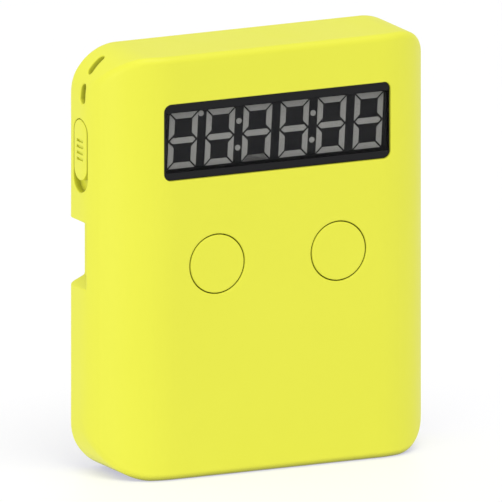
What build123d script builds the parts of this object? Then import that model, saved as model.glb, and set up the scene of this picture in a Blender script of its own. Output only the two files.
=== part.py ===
from build123d import *
import os
from math import asin, cos, degrees, radians, sin, sqrt, tan, atan

# Pocket-size digital timer, millimetres.
# +Z is up, the display faces -Y, +X is to the right when facing the display.
# The origin is on the flat bottom, at mid width and mid depth.
# "Depth" always means the distance behind the flat front face.

# ---------------------------------------------------------------- case
case_w = 68.2
case_h = 79.65
case_d = 17.8
outline_r = 9.2            # corners of the outline, seen from the front
nose_r = 13.0              # the front rolls round to each side with this radius
edge_r = 1.25              # small rounding of every outer edge
slice_count = 5            # sections that each stretch of a rolled side is drawn through
wall = 1.8
overhang = 1.0             # cutting shapes reach this far past the faces they cut
skin_gap = 0.003           # an edge this close to a surface lies on it

cover_t = 1.5              # rear cover plate
cover_gap = 0.1            # between the cover and the shell all round
cover_edge_r = 0.35

# ---------------------------------------------------------------- display
display_drop = 16.1        # centre of the display below the top of the case
window_w = 46.3
window_h = 14.45
window_r = 1.45
window_rim_r = 0.15        # rounding of the window's outer edge
window_wall = 1.0          # the front wall is thinner round the window
lens_recess = 0.6          # lens face behind the front of the case
lens_gap = 0.08
lens_lip = 1.1             # how far the flange reaches past the window
tape_t = 0.1
tape_lip = 0.9
flange_t = 0.3
pocket_gap = 0.2
glass_t = 0.4
glass_margin = 0.45        # the front glass is this much smaller than the flange, each side
rear_glass_w = 46.0
rear_glass_h = 13.6
rear_glass_drop = 0.3      # rear glass top edge below the front glass top edge
cell_gap = 0.1
film_t = 0.2
film_margin = 0.6
seal_w = 0.6
frame_gap = 0.15           # between the frame and the pocket it drops into
frame_window_w = 43.6
frame_window_h = 11.4
strip_w = 44.0
strip_t = 1.0
strip_gap = 0.1

digit_count = 6
digit_w = 5.8
digit_h = 10.45
digit_pitch = 7.58
digit_lean = 3.1           # degrees
bar_t = 1.1
bar_gap = 0.32             # between neighbouring segments
dot_r = 0.54
digit_right = 0.35         # centre of the digits to the right of the centre of the window
digit_drop = 0.1           # centre of the digits below the centre of the window
point_left = 0.3           # single dot, left of the line midway between two digits
point_rise = 4.7
colon_rise = 2.5

# ---------------------------------------------------------------- push buttons
button_x = 12.4
button_rise = 0.125         # button centres above the middle of the case
button_r = 5.45
button_gap = 0.2
button_top_t = 1.4
button_skirt_t = 1.0
button_depth = 3.1
button_flange = 1.0
button_flange_t = 0.7
button_stop_gap = 0.1
button_stem_r = 1.5
button_edge_r = 0.25
button_travel = 0.5

switch_side = 6.0
switch_h = 3.5
switch_cover_t = 0.3
plunger_r = 1.7
plunger_gap = 0.06
plunger_edge_r = 0.18
plunger_foot = 1.0         # plunger reaches this far into the switch body
touch_gap = 0.04           # between a button's stem and its plunger
pin_w = 0.7
pin_t = 0.3
pin_reach = 0.9
pin_spread = 2.25

# ---------------------------------------------------------------- main board
board_from_back = 8.4      # front face of the board to the back of the case
board_t = 1.2
board_w = 56.8
board_r = 2.0
board_gap = 0.3            # round the lanyard tunnel's walls
board_bottom = 28.6
board_top_drop = 7.1
post_x = 26.0
post_low_z = 31.6
post_high_drop = 28.3
post_r = 2.0
small_screw_r = 0.9
small_head_r = 1.7
small_head_t = 1.1
small_screw_len = 5.2      # depth of its hole
screw_hole_gap = 0.15
screw_end_gap = 1.0        # a screw is this much shorter than its hole

# ---------------------------------------------------------------- housing screws
top_boss_x = 19.0
top_boss_drop = 4.2
low_boss_x = 28.2
low_boss_z = 5.9
boss_r = 2.15
big_screw_r = 1.0
big_head_r = 1.75
big_head_t = 1.2
big_screw_len = 8.0        # depth of its hole
head_gap = 0.3
head_sink = 0.3
seat_t = 1.3               # cover material left under a screw head
seat_wall = 0.6            # round the recess that a screw head sits in
head_edge_r = 0.36
cross_w = 0.45
cross_len = 2.2
cross_depth = 0.6

# ---------------------------------------------------------------- power slider
slide_drop = 19.85         # centre of the slot below the top of the case
slide_from_back = 4.65     # centre of the slot to the back of the case
slot_len = 13.9
slot_w = 5.3
slot_rim_r = 0.15
knob_travel = 2.2
knob_end_gap = 0.15
knob_side_gap = 0.3
knob_edge_r = 0.12
knob_root = 0.3            # the stem is rooted this far into the cap
slot_floor_in = 1.3        # recess floor, in from the side of the case
slot_pad_t = 1.5           # thickness of that floor
slot_pad_rim = 0.45        # the floor's backing reaches this far past the slot in depth
knob_floor_gap = 0.2
stem_len = 3.8
stem_w = 2.0
stem_gap = 0.1
clip_len = 5.8
clip_w = 3.8
clip_t = 0.7
clip_gap = 0.15
fork_t = 1.0
fork_gap = 0.1
fork_back_gap = 0.4        # fork end to the switch
grip_count = 4
grip_pitch = 1.15
grip_w = 2.4
grip_t = 0.5
grip_depth = 0.3

lever_side = 1.6
lever_reach = 2.0
lever_root = 1.2
power_switch_w = 4.0
power_switch_len = 9.0
can_t = 0.3
power_switch_inset = 0.2   # switch face in from the edge of the board

# ---------------------------------------------------------------- side notch and lanyard eye
notch_rise = 1.375         # notch centre above the middle of the case
notch_mouth = 12.65
notch_root = 9.7
notch_in = 3.2
notch_len = 6.8            # front wall of the notch to the back of the case
notch_wall = 1.3
notch_r = 0.6
notch_rim_r = 0.25

eye_from_back = 5.6        # centre of the eyes to the back of the case
eye_w = 1.8
eye_rim_r = 0.2
side_eye_len = 3.7
side_eye_rise = 1.1        # above the corner's centre
corner_eye_len = 4.3
corner_eye_turn = 45.0
tunnel_deep = 4.4
tunnel_pierce = 0.2        # the tunnel is cut this far into the case wall
tunnel_low_turn = -16.0
tunnel_high_turn = 63.0
tunnel_wall = 1.2
tunnel_end_turn = 13.0     # the tunnel's end walls, as a turn round the corner

# ---------------------------------------------------------------- battery compartment
cell_r = 5.25
cell_len = 44.5
nub_r = 1.9
nub_len = 1.0
cell_edge_r = 0.5
cell_side_gap = 0.1
door_cell_gap = 0.5        # between the cells and the door
cell_between = 0.2
bay_low_z = 3.9
bay_half_w = 24.3
bay_wall = 1.2
bay_ledge = 0.6            # how much of the wall the door rests on
contact_t = 0.4
contact_w = 8.0
contact_h = 9.0
link_h = 19.6
coil_r = 3.2
coil_tip_r = 2.2
coil_wire_r = 0.3
coil_turns = 3.0

door_gap = 0.15
door_edge_r = 0.3
tab_x = 14.0
tab_w = 5.0
tab_t = 1.0
tab_reach = 0.85
tab_gap = 0.1
tab_slot_gap = 0.3
pad_w = 26.0
pad_h = 4.0
pad_t = 1.2
thumb_w = 11.0
thumb_h = 1.0
thumb_pitch = 1.7
thumb_count = 3
thumb_depth = 0.4
thumb_drop = 3.2

tail_w = 2.0               # solder tails of the contacts
minus_tail_w = 1.0
minus_tail_gap = 0.1
tail_slot_gap = 0.1
plus_tail_top = 29.6
minus_tail_top = 27.6
lead_r = 0.3
lead_top = 29.0
lead_bend_r = 1.0

# ---------------------------------------------------------------- buzzer and electronics
buzzer_x = 10.0
buzzer_rise = 10.5         # above the middle of the case
buzzer_r = 9.5
ring_t = 1.2
ring_h = 1.2
brass_t = 0.25
ceramic_r = 6.4
ceramic_t = 0.25
hole_r = 0.75
hole_circle_r = 3.0
hole_count = 6
buzzer_spring_r = 1.0
buzzer_wire_r = 0.22
buzzer_spring_turns = 5.0
brass_spring_x = 7.9
ceramic_spring_x = 3.0

dome_r = 5.0
dome_h = 1.5
dome_x = -9.0
dome_rise = 12.0
crystal_r = 1.0
crystal_len = 6.0
crystal_edge_r = 0.25
crystal_x = -9.0
crystal_rise = 20.5
capacitor_r = 2.0
capacitor_len = 5.4
capacitor_edge_r = 0.4
capacitor_x = -16.0
capacitor_rise = -3.0
chip_w = 2.0
chip_h = 1.2
chip_t = 0.5
chip_count = 5
chip_pitch = 3.0
chip_x = -9.0
chip_rise = 2.5

# ---------------------------------------------------------------- derived places
front = -case_d / 2
back = case_d / 2
side = case_w / 2
middle_z = case_h / 2
display_z = case_h - display_drop
button_z = middle_z + button_rise
slide_z = case_h - slide_drop
notch_z = middle_z + notch_rise
buzzer_z = middle_z + buzzer_rise
cover_face = case_d - cover_t              # depth of the cover's inner face
board_depth = case_d - board_from_back
slide_depth = case_d - slide_from_back
notch_depth = case_d - notch_len
eye_depth = case_d - eye_from_back
board_back = board_depth + board_t
board_top = case_h - board_top_drop
post_high_z = case_h - post_high_drop
lens_back = window_wall + tape_t + flange_t
glass_back = lens_back + glass_t
rear_glass_front = glass_back + cell_gap
rear_glass_back = rear_glass_front + glass_t
flange_w = window_w + 2 * lens_lip
flange_h = window_h + 2 * lens_lip
pocket_w = flange_w + 2 * pocket_gap
pocket_h = flange_h + 2 * pocket_gap
glass_w = flange_w - 2 * glass_margin
glass_h = flange_h - 2 * glass_margin
rear_glass_z = display_z + (glass_h - rear_glass_h) / 2 - rear_glass_drop
strip_z = (display_z - glass_h / 2 + rear_glass_z - rear_glass_h / 2) / 2
button_hole_r = button_r + button_gap
plunger_tip = button_depth + touch_gap
switch_front = board_depth - switch_h
boss_top = case_d - head_sink - big_head_t - seat_t
floor_x = -side + slot_floor_in
pad_x = floor_x + slot_pad_t
switch_face_x = -board_w / 2 + power_switch_inset
knob_rest_z = slide_z + knob_travel / 2
knob_len = slot_len - knob_travel - 2 * knob_end_gap
knob_w = slot_w - 2 * knob_side_gap
power_switch_h = 2 * (slide_depth - board_back)
corner_x = -(side - outline_r)
corner_z = case_h - outline_r
bay_h = 4 * cell_r + 2 * cell_side_gap + cell_between
bay_z = bay_low_z + bay_h / 2
bay_front = cover_face - door_cell_gap - 2 * cell_r - cell_side_gap
cell_depth = bay_front + cell_side_gap + cell_r
low_cell_z = bay_low_z + cell_side_gap + cell_r
high_cell_z = low_cell_z + 2 * cell_r + cell_between
opening_w = 2 * (bay_half_w + bay_wall - bay_ledge)
opening_h = bay_h + 2 * (bay_wall - bay_ledge)
door_w = opening_w - 2 * door_gap
door_h = opening_h - 2 * door_gap
door_low_z = bay_z - door_h / 2
contact_x = bay_half_w - contact_t
plus_tail_depth = board_back + tail_w / 2
minus_tail_depth = bay_front + minus_tail_gap + minus_tail_w / 2
spring_len = 2 * contact_x - cell_len


# ---------------------------------------------------------------- drawing helpers
def upright(sketch, near, far):
    """Solid from a sketch in X and Z, between two depths behind the front face."""
    plane = Plane((0, front + far, 0), x_dir=(1, 0, 0), z_dir=(0, -1, 0))
    return extrude(plane * sketch, amount=far - near, dir=(0, -1, 0))


def panel(width, height, radius, x, z, near, far):
    """Round-cornered plate that faces the front."""
    return upright(Pos(x, z) * RectangleRounded(width, height, radius), near, far)


def block(width, height, x, z, near, far):
    """Square-cornered plate that faces the front."""
    return upright(Pos(x, z) * Rectangle(width, height), near, far)


def disc(radius, x, z, near, far):
    """Round plate that faces the front."""
    return upright(Pos(x, z) * Circle(radius), near, far)


def sideways(sketch, x_from, x_to):
    """Solid from a sketch in Y and Z, between two places along X."""
    plane = Plane((x_from, 0, 0), x_dir=(0, 1, 0), z_dir=(1, 0, 0))
    return extrude(plane * sketch, amount=x_to - x_from, dir=(1, 0, 0))


def beam(y_size, z_size, depth, z, x_from, x_to):
    """Rectangular bar that runs along X, centred on a depth and a height."""
    return sideways(Pos(front + depth, z) * Rectangle(y_size, z_size), x_from, x_to)


def rim(shape, skin, cutter):
    """Edges of a cut where it meets the outer surface of the case."""
    chosen = ShapeList()
    for edge in shape.edges():
        spots = [Vertex(*(edge @ share)) for share in (0, 0.25, 0.5, 0.75, 1)]
        if all(spot.distance_to(surface) < skin_gap for surface in (cutter.shell(), skin) for spot in spots):
            chosen.append(edge)
    return chosen


def save(shape, name):
    """Write one node."""
    export_step(shape, f"parts/{name}.step")


# ---------------------------------------------------------------- case shape
def case_slice(x):
    """Round-cornered section of the closed case, square to X."""
    into_nose = max(0, x - (side - nose_r))
    into_corner = max(0, x - (side - outline_r))
    into_edge = max(0, x - (side - edge_r))
    y_near = front + nose_r - sqrt(nose_r ** 2 - into_nose ** 2)
    y_far = back - edge_r + sqrt(edge_r ** 2 - into_edge ** 2)
    drop = outline_r - sqrt(outline_r ** 2 - into_corner ** 2)
    plane = Plane((x, (y_near + y_far) / 2, middle_z), x_dir=(0, 1, 0), z_dir=(1, 0, 0))
    return plane * RectangleRounded(y_far - y_near, case_h - 2 * drop, edge_r)


def case_solid():
    """Outer shape of the closed case: a straight middle and two rolled sides."""
    starts = [side - nose_r, side - outline_r, side - edge_r]
    body = extrude(case_slice(starts[0]), amount=2 * starts[0], dir=(-1, 0, 0))
    for start, end in zip(starts, starts[1:] + [side]):
        radius = side - start
        turn = asin((end - start) / radius)
        places = [start + radius * sin(turn * index / slice_count) for index in range(slice_count)]
        roll = loft([case_slice(x) for x in places + [end]])
        body += roll
        body += mirror(roll, about=Plane.YZ)
    return body


def case_space():
    """Hollow of the front shell, open at the back."""
    outline = Pos(0, middle_z) * RectangleRounded(case_w - 2 * wall, case_h - 2 * wall, outline_r - wall)
    plan = Pos(0, wall / 2) * Rectangle(case_w - 2 * wall, case_d - wall)
    plan = fillet(plan.vertices().group_by(Axis.Y)[0], nose_r - wall)
    return upright(outline, wall, case_d) & extrude(plan, amount=case_h)


def notch_outline(spread):
    """Flared notch seen from behind, open to the left, grown by the given amount."""
    outer = -side - 2 * notch_wall
    slope = (notch_mouth - notch_root) / 2 / notch_in
    root_x = -side + notch_in + spread
    half_root = notch_root / 2 + spread * (sqrt(1 + slope ** 2) - slope)
    half_outer = half_root + slope * (root_x - outer)
    shape = Polygon(
        (outer, notch_z - half_outer),
        (root_x, notch_z - half_root),
        (root_x, notch_z + half_root),
        (outer, notch_z + half_outer),
        align=None,
    )
    return fillet(shape.vertices().group_by(Axis.X)[-1], notch_r + spread)


def eye_plane(turn, reach):
    """Plane square to a line from the corner's centre, turned up from the left."""
    out = (-cos(radians(turn)), 0, sin(radians(turn)))
    along = (sin(radians(turn)), 0, cos(radians(turn)))
    spot = (corner_x + reach * out[0], front + eye_depth, corner_z + reach * out[2])
    return Plane(spot, x_dir=along, z_dir=out)


def arc_band(inner, outer, low, high):
    """Part of a ring round the corner's centre, between two turns from the left."""
    far = 2 * outer
    wedge = Polygon(
        (0, 0),
        (-far * cos(radians(low)), far * sin(radians(low))),
        (-far * cos(radians((low + high) / 2)), far * sin(radians((low + high) / 2))),
        (-far * cos(radians(high)), far * sin(radians(high))),
        align=None,
    )
    return Pos(corner_x, corner_z) * ((Circle(outer) - Circle(inner)) & wedge)


tunnel_outer = outline_r - wall
tunnel_inner = tunnel_outer - tunnel_deep
tunnel_near = eye_depth - eye_w / 2
tunnel_far = eye_depth + eye_w / 2


def lanyard_body():
    """Walls round the curved tunnel behind the two lanyard eyes."""
    band = arc_band(
        tunnel_inner - tunnel_wall, outline_r - edge_r,
        tunnel_low_turn - tunnel_end_turn, tunnel_high_turn + tunnel_end_turn,
    )
    return upright(band, tunnel_near - tunnel_wall, tunnel_far + tunnel_wall)


def lanyard_tunnel():
    """Space that the lanyard loop passes through: two eyes and a curved tunnel."""
    band = arc_band(tunnel_inner, tunnel_outer + tunnel_pierce, tunnel_low_turn, tunnel_high_turn)
    tunnel = upright(band, tunnel_near, tunnel_far)
    reach = outline_r - tunnel_inner - tunnel_deep / 2
    level = Plane(
        (-side - overhang, front + eye_depth, corner_z + side_eye_rise), x_dir=(0, 0, 1), z_dir=(1, 0, 0)
    )
    side_eye = extrude(level * SlotOverall(side_eye_len, eye_w), amount=reach + overhang)
    diagonal = eye_plane(corner_eye_turn, outline_r + overhang)
    corner_eye = extrude(diagonal * SlotOverall(corner_eye_len, eye_w), amount=-reach - overhang)
    return tunnel + side_eye + corner_eye


def boss_places():
    """Centres of the four housing screws."""
    top_z = case_h - top_boss_drop
    return [(-top_boss_x, top_z), (top_boss_x, top_z), (-low_boss_x, low_boss_z), (low_boss_x, low_boss_z)]


def post_places():
    """Centres of the four board screws."""
    return [(x, z) for x in (-post_x, post_x) for z in (post_low_z, post_high_z)]


# ---------------------------------------------------------------- shells
def front_shell():
    """Front, sides, top and bottom in one deep moulding."""
    outer = case_solid()
    shell = outer - case_space()
    extras = [disc(boss_r, x, z, wall, boss_top) for x, z in boss_places()]
    extras += [disc(post_r, x, z, wall / 2, board_depth) for x, z in post_places()]
    extras.append(beam(slot_w + 2 * slot_pad_rim, slot_len + 2 * wall, slide_depth, slide_z, -side, pad_x))
    notch_skin = upright(notch_outline(notch_wall), notch_depth - notch_wall, case_d)
    extras += [notch_skin, lanyard_body()]
    for extra in extras:
        shell += extra & outer
    window = panel(window_w, window_h, window_r, 0, display_z, -overhang, wall)
    slot = Pos(front + slide_depth, slide_z) * Rot(0, 0, 90) * SlotOverall(slot_len, slot_w)
    slot = sideways(slot, -side - overhang, floor_x)
    notch = upright(notch_outline(0), notch_depth, case_d + overhang)
    tunnel = lanyard_tunnel()
    for cut in (window, slot, notch, tunnel):
        shell -= cut
    shell -= panel(pocket_w, pocket_h, window_r, 0, display_z, window_wall, glass_back + wall / 2)
    for x in (-button_x, button_x):
        shell -= disc(button_hole_r, x, button_z, -overhang, wall + overhang)
    shell -= beam(
        stem_w + 2 * stem_gap, stem_len + knob_travel + 2 * stem_gap, slide_depth, slide_z,
        floor_x - overhang, pad_x + overhang,
    )
    for x, z in boss_places():
        shell -= disc(big_screw_r, x, z, boss_top - big_screw_len, boss_top + overhang)
    for x, z in post_places():
        shell -= disc(small_screw_r, x, z, board_depth - small_screw_len, board_depth + overhang)
    mouths = shell.edges().filter_by(GeomType.CIRCLE).filter_by(lambda e: e.center().Y < front + skin_gap)
    mouths = mouths.filter_by(lambda e: abs(e.radius - button_hole_r) < skin_gap)
    shell = fillet(mouths, button_edge_r)
    skin = outer.shell()
    rims = ((window, window_rim_r), (slot, slot_rim_r), (notch, notch_rim_r), (tunnel, eye_rim_r))
    for cut, radius in rims:
        shell = fillet(rim(shell, skin, cut), radius)
    return shell


def cover_outline(shrink):
    """Inside of the shell's rim, less a gap, as seen from behind."""
    inset = wall + cover_gap + shrink
    rim = Pos(0, middle_z) * RectangleRounded(case_w - 2 * inset, case_h - 2 * inset, outline_r - inset)
    return rim - notch_outline(notch_wall + cover_gap + shrink)


def rear_cover():
    """Back plate with the battery bay, screw seats, buzzer ring and sound holes."""
    cover = upright(cover_outline(0), cover_face, case_d)
    back_rim = cover.faces().sort_by(Axis.Y)[-1].edges()
    cover = chamfer(back_rim, cover_edge_r)
    inside = upright(cover_outline(0), wall, case_d - cover_edge_r)
    seat_r = big_head_r + head_gap + seat_wall
    seats = [disc(seat_r, x, z, boss_top, case_d - cover_edge_r) for x, z in boss_places()]
    bay_w = 2 * (bay_half_w + bay_wall)
    bay = block(bay_w, bay_h + 2 * bay_wall, 0, bay_z, bay_front - bay_wall, case_d - cover_edge_r)
    ring = disc(buzzer_r, buzzer_x, buzzer_z, cover_face - ring_h, case_d - cover_edge_r)
    for piece in seats + [bay, ring]:
        cover += piece & inside
    for x, z in boss_places():
        if abs(x) == low_boss_x:
            cover -= disc(boss_r + cover_gap, x, z, 0, boss_top)
    cover -= block(2 * bay_half_w, bay_h, 0, bay_z, bay_front, case_d + overhang)
    cover -= block(opening_w, opening_h, 0, bay_z, cover_face, case_d + overhang)
    cover -= disc(buzzer_r - ring_t, buzzer_x, buzzer_z, 0, cover_face)
    for x, z in boss_places():
        cover -= disc(big_screw_r + screw_hole_gap, x, z, 0, case_d + overhang)
        cover -= disc(big_head_r + head_gap, x, z, boss_top + seat_t, case_d + overhang)
    for x in (-tab_x, tab_x):
        top = bay_low_z + overhang
        low = door_low_z - tab_reach - tab_slot_gap
        near = cover_face - tab_gap - tab_t - tab_slot_gap
        cover -= block(tab_w + 2 * tab_slot_gap, top - low, x, (top + low) / 2, near, cover_face)
    cover -= disc(hole_r, buzzer_x, buzzer_z, cover_face - overhang, case_d + overhang)
    for index in range(hole_count):
        angle = radians(360 * index / hole_count)
        x = buzzer_x + hole_circle_r * cos(angle)
        z = buzzer_z + hole_circle_r * sin(angle)
        cover -= disc(hole_r, x, z, cover_face - overhang, case_d + overhang)
    roof_z = bay_z + bay_h / 2 + bay_wall / 2
    for depth, width in ((plus_tail_depth, tail_w), (minus_tail_depth, minus_tail_w)):
        slot = Pos(front + depth, roof_z) * Rectangle(width + 2 * tail_slot_gap, bay_wall + 2 * tail_slot_gap)
        cover -= sideways(slot, -bay_half_w, tail_slot_gap - contact_x)
    return cover


def battery_door():
    """Door over the cells, hooked at its lower edge, with a ribbed thumb grip."""
    door = block(door_w, door_h, 0, bay_z, cover_face, case_d)
    door = fillet(door.faces().sort_by(Axis.Y)[-1].edges(), door_edge_r)
    top_z = bay_z + door_h / 2 - thumb_drop
    for index in range(thumb_count):
        z = top_z - index * thumb_pitch
        door -= upright(Pos(0, z) * SlotOverall(thumb_w, thumb_h), case_d - thumb_depth, case_d + overhang)
    for x in (-tab_x, tab_x):
        low = door_low_z - tab_reach
        high = bay_low_z + tab_reach
        back_face = cover_face - tab_gap
        door += block(tab_w, high - low, x, (high + low) / 2, back_face - tab_t, back_face)
        root = high - bay_low_z
        door += block(tab_w, root, x, high - root / 2, back_face, cover_face)
    return door


def door_pad():
    """Foam strip on the inside of the door, in the valley between the cells."""
    return block(pad_w, pad_h, 0, (low_cell_z + high_cell_z) / 2, cover_face - pad_t, cover_face)


# ---------------------------------------------------------------- fasteners
def screw(x, z, seat, radius, length, head_radius, head_height):
    """Pan-head screw driven from behind, its head resting at the given depth."""
    shape = disc(radius, x, z, seat - length, seat)
    head = disc(head_radius, x, z, seat, seat + head_height)
    head = fillet(head.faces().sort_by(Axis.Y)[-1].edges(), head_edge_r)
    bottom = seat + head_height - cross_depth
    head -= block(cross_len, cross_w, x, z, bottom, seat + head_height + overhang)
    head -= block(cross_w, cross_len, x, z, bottom, seat + head_height + overhang)
    return shape + head


def housing_screws():
    """Four screws that hold the rear cover."""
    seat = boss_top + seat_t
    length = seat_t + big_screw_len - screw_end_gap
    return [screw(x, z, seat, big_screw_r, length, big_head_r, big_head_t) for x, z in boss_places()]


def board_screws():
    """Four screws that hold the board on its posts."""
    length = board_t + small_screw_len - screw_end_gap
    sizes = (small_screw_r, length, small_head_r, small_head_t)
    return [screw(x, z, board_back, *sizes) for x, z in post_places()]


# ---------------------------------------------------------------- display
def display_lens():
    """Dark window with a raised middle that fills the opening from inside."""
    middle = panel(
        window_w - 2 * lens_gap, window_h - 2 * lens_gap, window_r - lens_gap, 0, display_z,
        lens_recess, lens_back,
    )
    flange = panel(flange_w, flange_h, window_r, 0, display_z, lens_back - flange_t, lens_back)
    return middle + flange


def lens_tape():
    """Adhesive ring between the lens flange and the case."""
    outer = panel(
        window_w + 2 * tape_lip, window_h + 2 * tape_lip, window_r + tape_lip, 0, display_z,
        window_wall, window_wall + tape_t,
    )
    return outer - panel(
        window_w + pocket_gap, window_h + pocket_gap, window_r, 0, display_z, 0, window_wall + overhang
    )


def front_glass():
    """Front glass of the display cell."""
    return block(glass_w, glass_h, 0, display_z, lens_back, glass_back)


def rear_glass():
    """Rear glass, shorter so that the contact ledge of the front glass stays free."""
    return block(rear_glass_w, rear_glass_h, 0, rear_glass_z, rear_glass_front, rear_glass_back)


def cell_seal():
    """Seal between the two glasses."""
    ring = block(rear_glass_w, rear_glass_h, 0, rear_glass_z, glass_back, rear_glass_front)
    inner_w = rear_glass_w - 2 * seal_w
    return ring - block(inner_w, rear_glass_h - 2 * seal_w, 0, rear_glass_z, 0, case_d)


def rear_film():
    """Backing film behind the rear glass."""
    return block(
        rear_glass_w - 2 * film_margin, rear_glass_h - 2 * film_margin, 0, rear_glass_z,
        rear_glass_back, rear_glass_back + film_t,
    )


def display_frame():
    """Frame that carries the glasses in front of the board."""
    width, height = pocket_w - 2 * frame_gap, pocket_h - 2 * frame_gap
    frame = panel(width, height, window_r, 0, display_z, glass_back, board_depth)
    frame -= block(
        rear_glass_w + 2 * strip_gap, rear_glass_h + 2 * strip_gap, 0, rear_glass_z, 0, rear_glass_back
    )
    frame -= block(frame_window_w, frame_window_h, 0, rear_glass_z, 0, case_d)
    frame -= block(
        rear_glass_w - film_margin, rear_glass_h - film_margin, 0, rear_glass_z,
        0, rear_glass_back + film_t + strip_gap,
    )
    frame -= block(strip_w + 2 * strip_gap, strip_t + 2 * strip_gap, 0, strip_z, 0, case_d)
    return frame


def contact_strip():
    """Rubber strip that joins the glass ledge to the board."""
    return block(strip_w, strip_t, 0, strip_z, glass_back, board_depth)


def digit():
    """Outlines of the seven segments of one digit, upright, about its own centre."""
    far = digit_w / 2
    tall = digit_h / 2
    trim = bar_gap / sqrt(2)
    inner = far - bar_t
    across = [(trim - far, tall), (far - trim, tall)]
    across += [(inner - trim, tall - bar_t), (trim - inner, tall - bar_t)]
    down = [(far, trim), (far, tall - trim), (inner, tall - bar_t - trim), (inner, bar_t + trim)]
    tip = far - bar_gap
    middle = [(tip, 0), (tip - bar_t / 2, bar_t / 2), (bar_t / 2 - tip, bar_t / 2)]
    outlines = [middle + [(-x, -z) for x, z in middle]]
    outlines += [[(x, level * z) for x, z in across] for level in (-1, 1)]
    outlines += [[(a * x, b * z) for x, z in down] for a in (-1, 1) for b in (-1, 1)]
    return outlines


def segments():
    """All display segments: six digits, one point and two colons, leaning as they rise."""
    slant = tan(radians(digit_lean))
    flat = []
    for index in range(digit_count):
        middle = (index - (digit_count - 1) / 2) * digit_pitch
        for outline in digit():
            flat.append(Polygon(*[(middle + x + slant * z, z) for x, z in outline], align=None))
    dots = [(-2 * digit_pitch - point_left + slant * point_rise, point_rise)]
    for gap in (-1, 1):
        dots += [(gap * digit_pitch + slant * level, level) for level in (-colon_rise, colon_rise)]
    flat += [Pos(x, z) * Circle(dot_r) for x, z in dots]
    place = Pos(digit_right, display_z - digit_drop)
    return [upright(place * shape, glass_back, rear_glass_front) for shape in flat]


# ---------------------------------------------------------------- board and its parts
def main_board():
    """Circuit board with its screw holes."""
    height = board_top - board_bottom
    board = panel(board_w, height, board_r, 0, (board_top + board_bottom) / 2, board_depth, board_back)
    for x, z in post_places():
        board -= disc(small_screw_r + screw_hole_gap, x, z, 0, case_d)
    low = corner_z + outline_r * sin(radians(tunnel_low_turn - tunnel_end_turn)) - board_gap
    left = -board_w / 2 - board_gap
    right = corner_x + board_gap
    return board - block(right - left, case_h - low, (left + right) / 2, (case_h + low) / 2, 0, case_d)


def button(x):
    """Button cap with a skirt, a retaining flange and a stem."""
    cap = disc(button_r, x, button_z, 0, button_depth)
    cap = fillet(cap.faces().sort_by(Axis.Y)[0].edges(), button_edge_r)
    near = wall + button_stop_gap
    cap += disc(button_r + button_flange, x, button_z, near, near + button_flange_t)
    cap -= disc(button_r - button_skirt_t, x, button_z, button_top_t, case_d)
    return cap + disc(button_stem_r, x, button_z, button_top_t - button_edge_r, button_depth)


def switch_body(x):
    """Base of a push switch with the well its plunger drops into."""
    body = block(switch_side, switch_side, x, button_z, switch_front + switch_cover_t, board_depth)
    well = switch_front + plunger_foot + button_travel + plunger_gap + switch_cover_t
    return body - disc(plunger_r + plunger_gap, x, button_z, 0, well)


def switch_cover(x):
    """Metal face plate of a push switch."""
    plate = block(switch_side, switch_side, x, button_z, switch_front, switch_front + switch_cover_t)
    return plate - disc(plunger_r + plunger_gap, x, button_z, 0, case_d)


def plunger(x):
    """Round plunger of a push switch."""
    rod = disc(plunger_r, x, button_z, plunger_tip, switch_front + plunger_foot + switch_cover_t)
    return fillet(rod.faces().sort_by(Axis.Y)[0].edges(), plunger_edge_r)


def switch_pins():
    """Four solder legs on each push switch, in front of the board."""
    pins = []
    for x in (-button_x, button_x):
        for side_sign in (-1, 1):
            for level in (-pin_spread, pin_spread):
                place = x + side_sign * (switch_side + pin_reach) / 2
                z = button_z + level
                pins.append(block(pin_reach, pin_w, place, z, board_depth - pin_t, board_depth))
    return pins


def power_knob():
    """Sliding cap in the side recess, its stem, retaining clip and lever fork."""
    z = knob_rest_z
    cap = Pos(front + slide_depth, z) * Rot(0, 0, 90) * SlotOverall(knob_len, knob_w)
    cap = sideways(cap, -side - overhang, floor_x - knob_floor_gap)
    case = case_solid()
    knob = cap & case
    knob = fillet(rim(knob, case.shell(), cap), knob_edge_r)
    for index in range(grip_count):
        level = z + (index - (grip_count - 1) / 2) * grip_pitch
        knob -= beam(grip_w, grip_t, slide_depth, level, -side - overhang, -side + grip_depth)
    clip_x = pad_x + clip_gap
    knob += beam(stem_w, stem_len, slide_depth, z, floor_x - knob_floor_gap - knob_root, clip_x + clip_t)
    knob += beam(clip_w, clip_len, slide_depth, z, clip_x, clip_x + clip_t)
    fork_z = lever_side + 2 * (fork_gap + fork_t)
    knob += beam(stem_w, fork_z, slide_depth, z, clip_x, switch_face_x - fork_back_gap)
    return knob - beam(stem_w + overhang, lever_side + 2 * fork_gap, slide_depth, z, clip_x + clip_t, 0)


def power_switch_can():
    """Metal can of the slide switch, open towards the board."""
    mid_x = switch_face_x + power_switch_w / 2
    top = board_back + power_switch_h
    can = block(power_switch_w, power_switch_len, mid_x, slide_z, board_back, top)
    can -= block(power_switch_w - 2 * can_t, power_switch_len - 2 * can_t, mid_x, slide_z, 0, top - can_t)
    window_y = lever_side + 2 * fork_gap
    window_z = lever_side + knob_travel + 2 * fork_gap
    return can - beam(window_y, window_z, slide_depth, slide_z, switch_face_x - overhang, mid_x)


def power_switch_base():
    """Insulating base inside the can."""
    mid_x = switch_face_x + power_switch_w / 2
    height = (power_switch_h - lever_side) / 2 - 2 * fork_gap
    width = power_switch_w - 2 * can_t
    return block(width, power_switch_len - 2 * can_t, mid_x, slide_z, board_back, board_back + height)


def power_lever():
    """Sliding lever of the power switch."""
    tip_x = switch_face_x - lever_reach
    return beam(lever_side, lever_side, slide_depth, knob_rest_z, tip_x, switch_face_x + lever_root)


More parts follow.
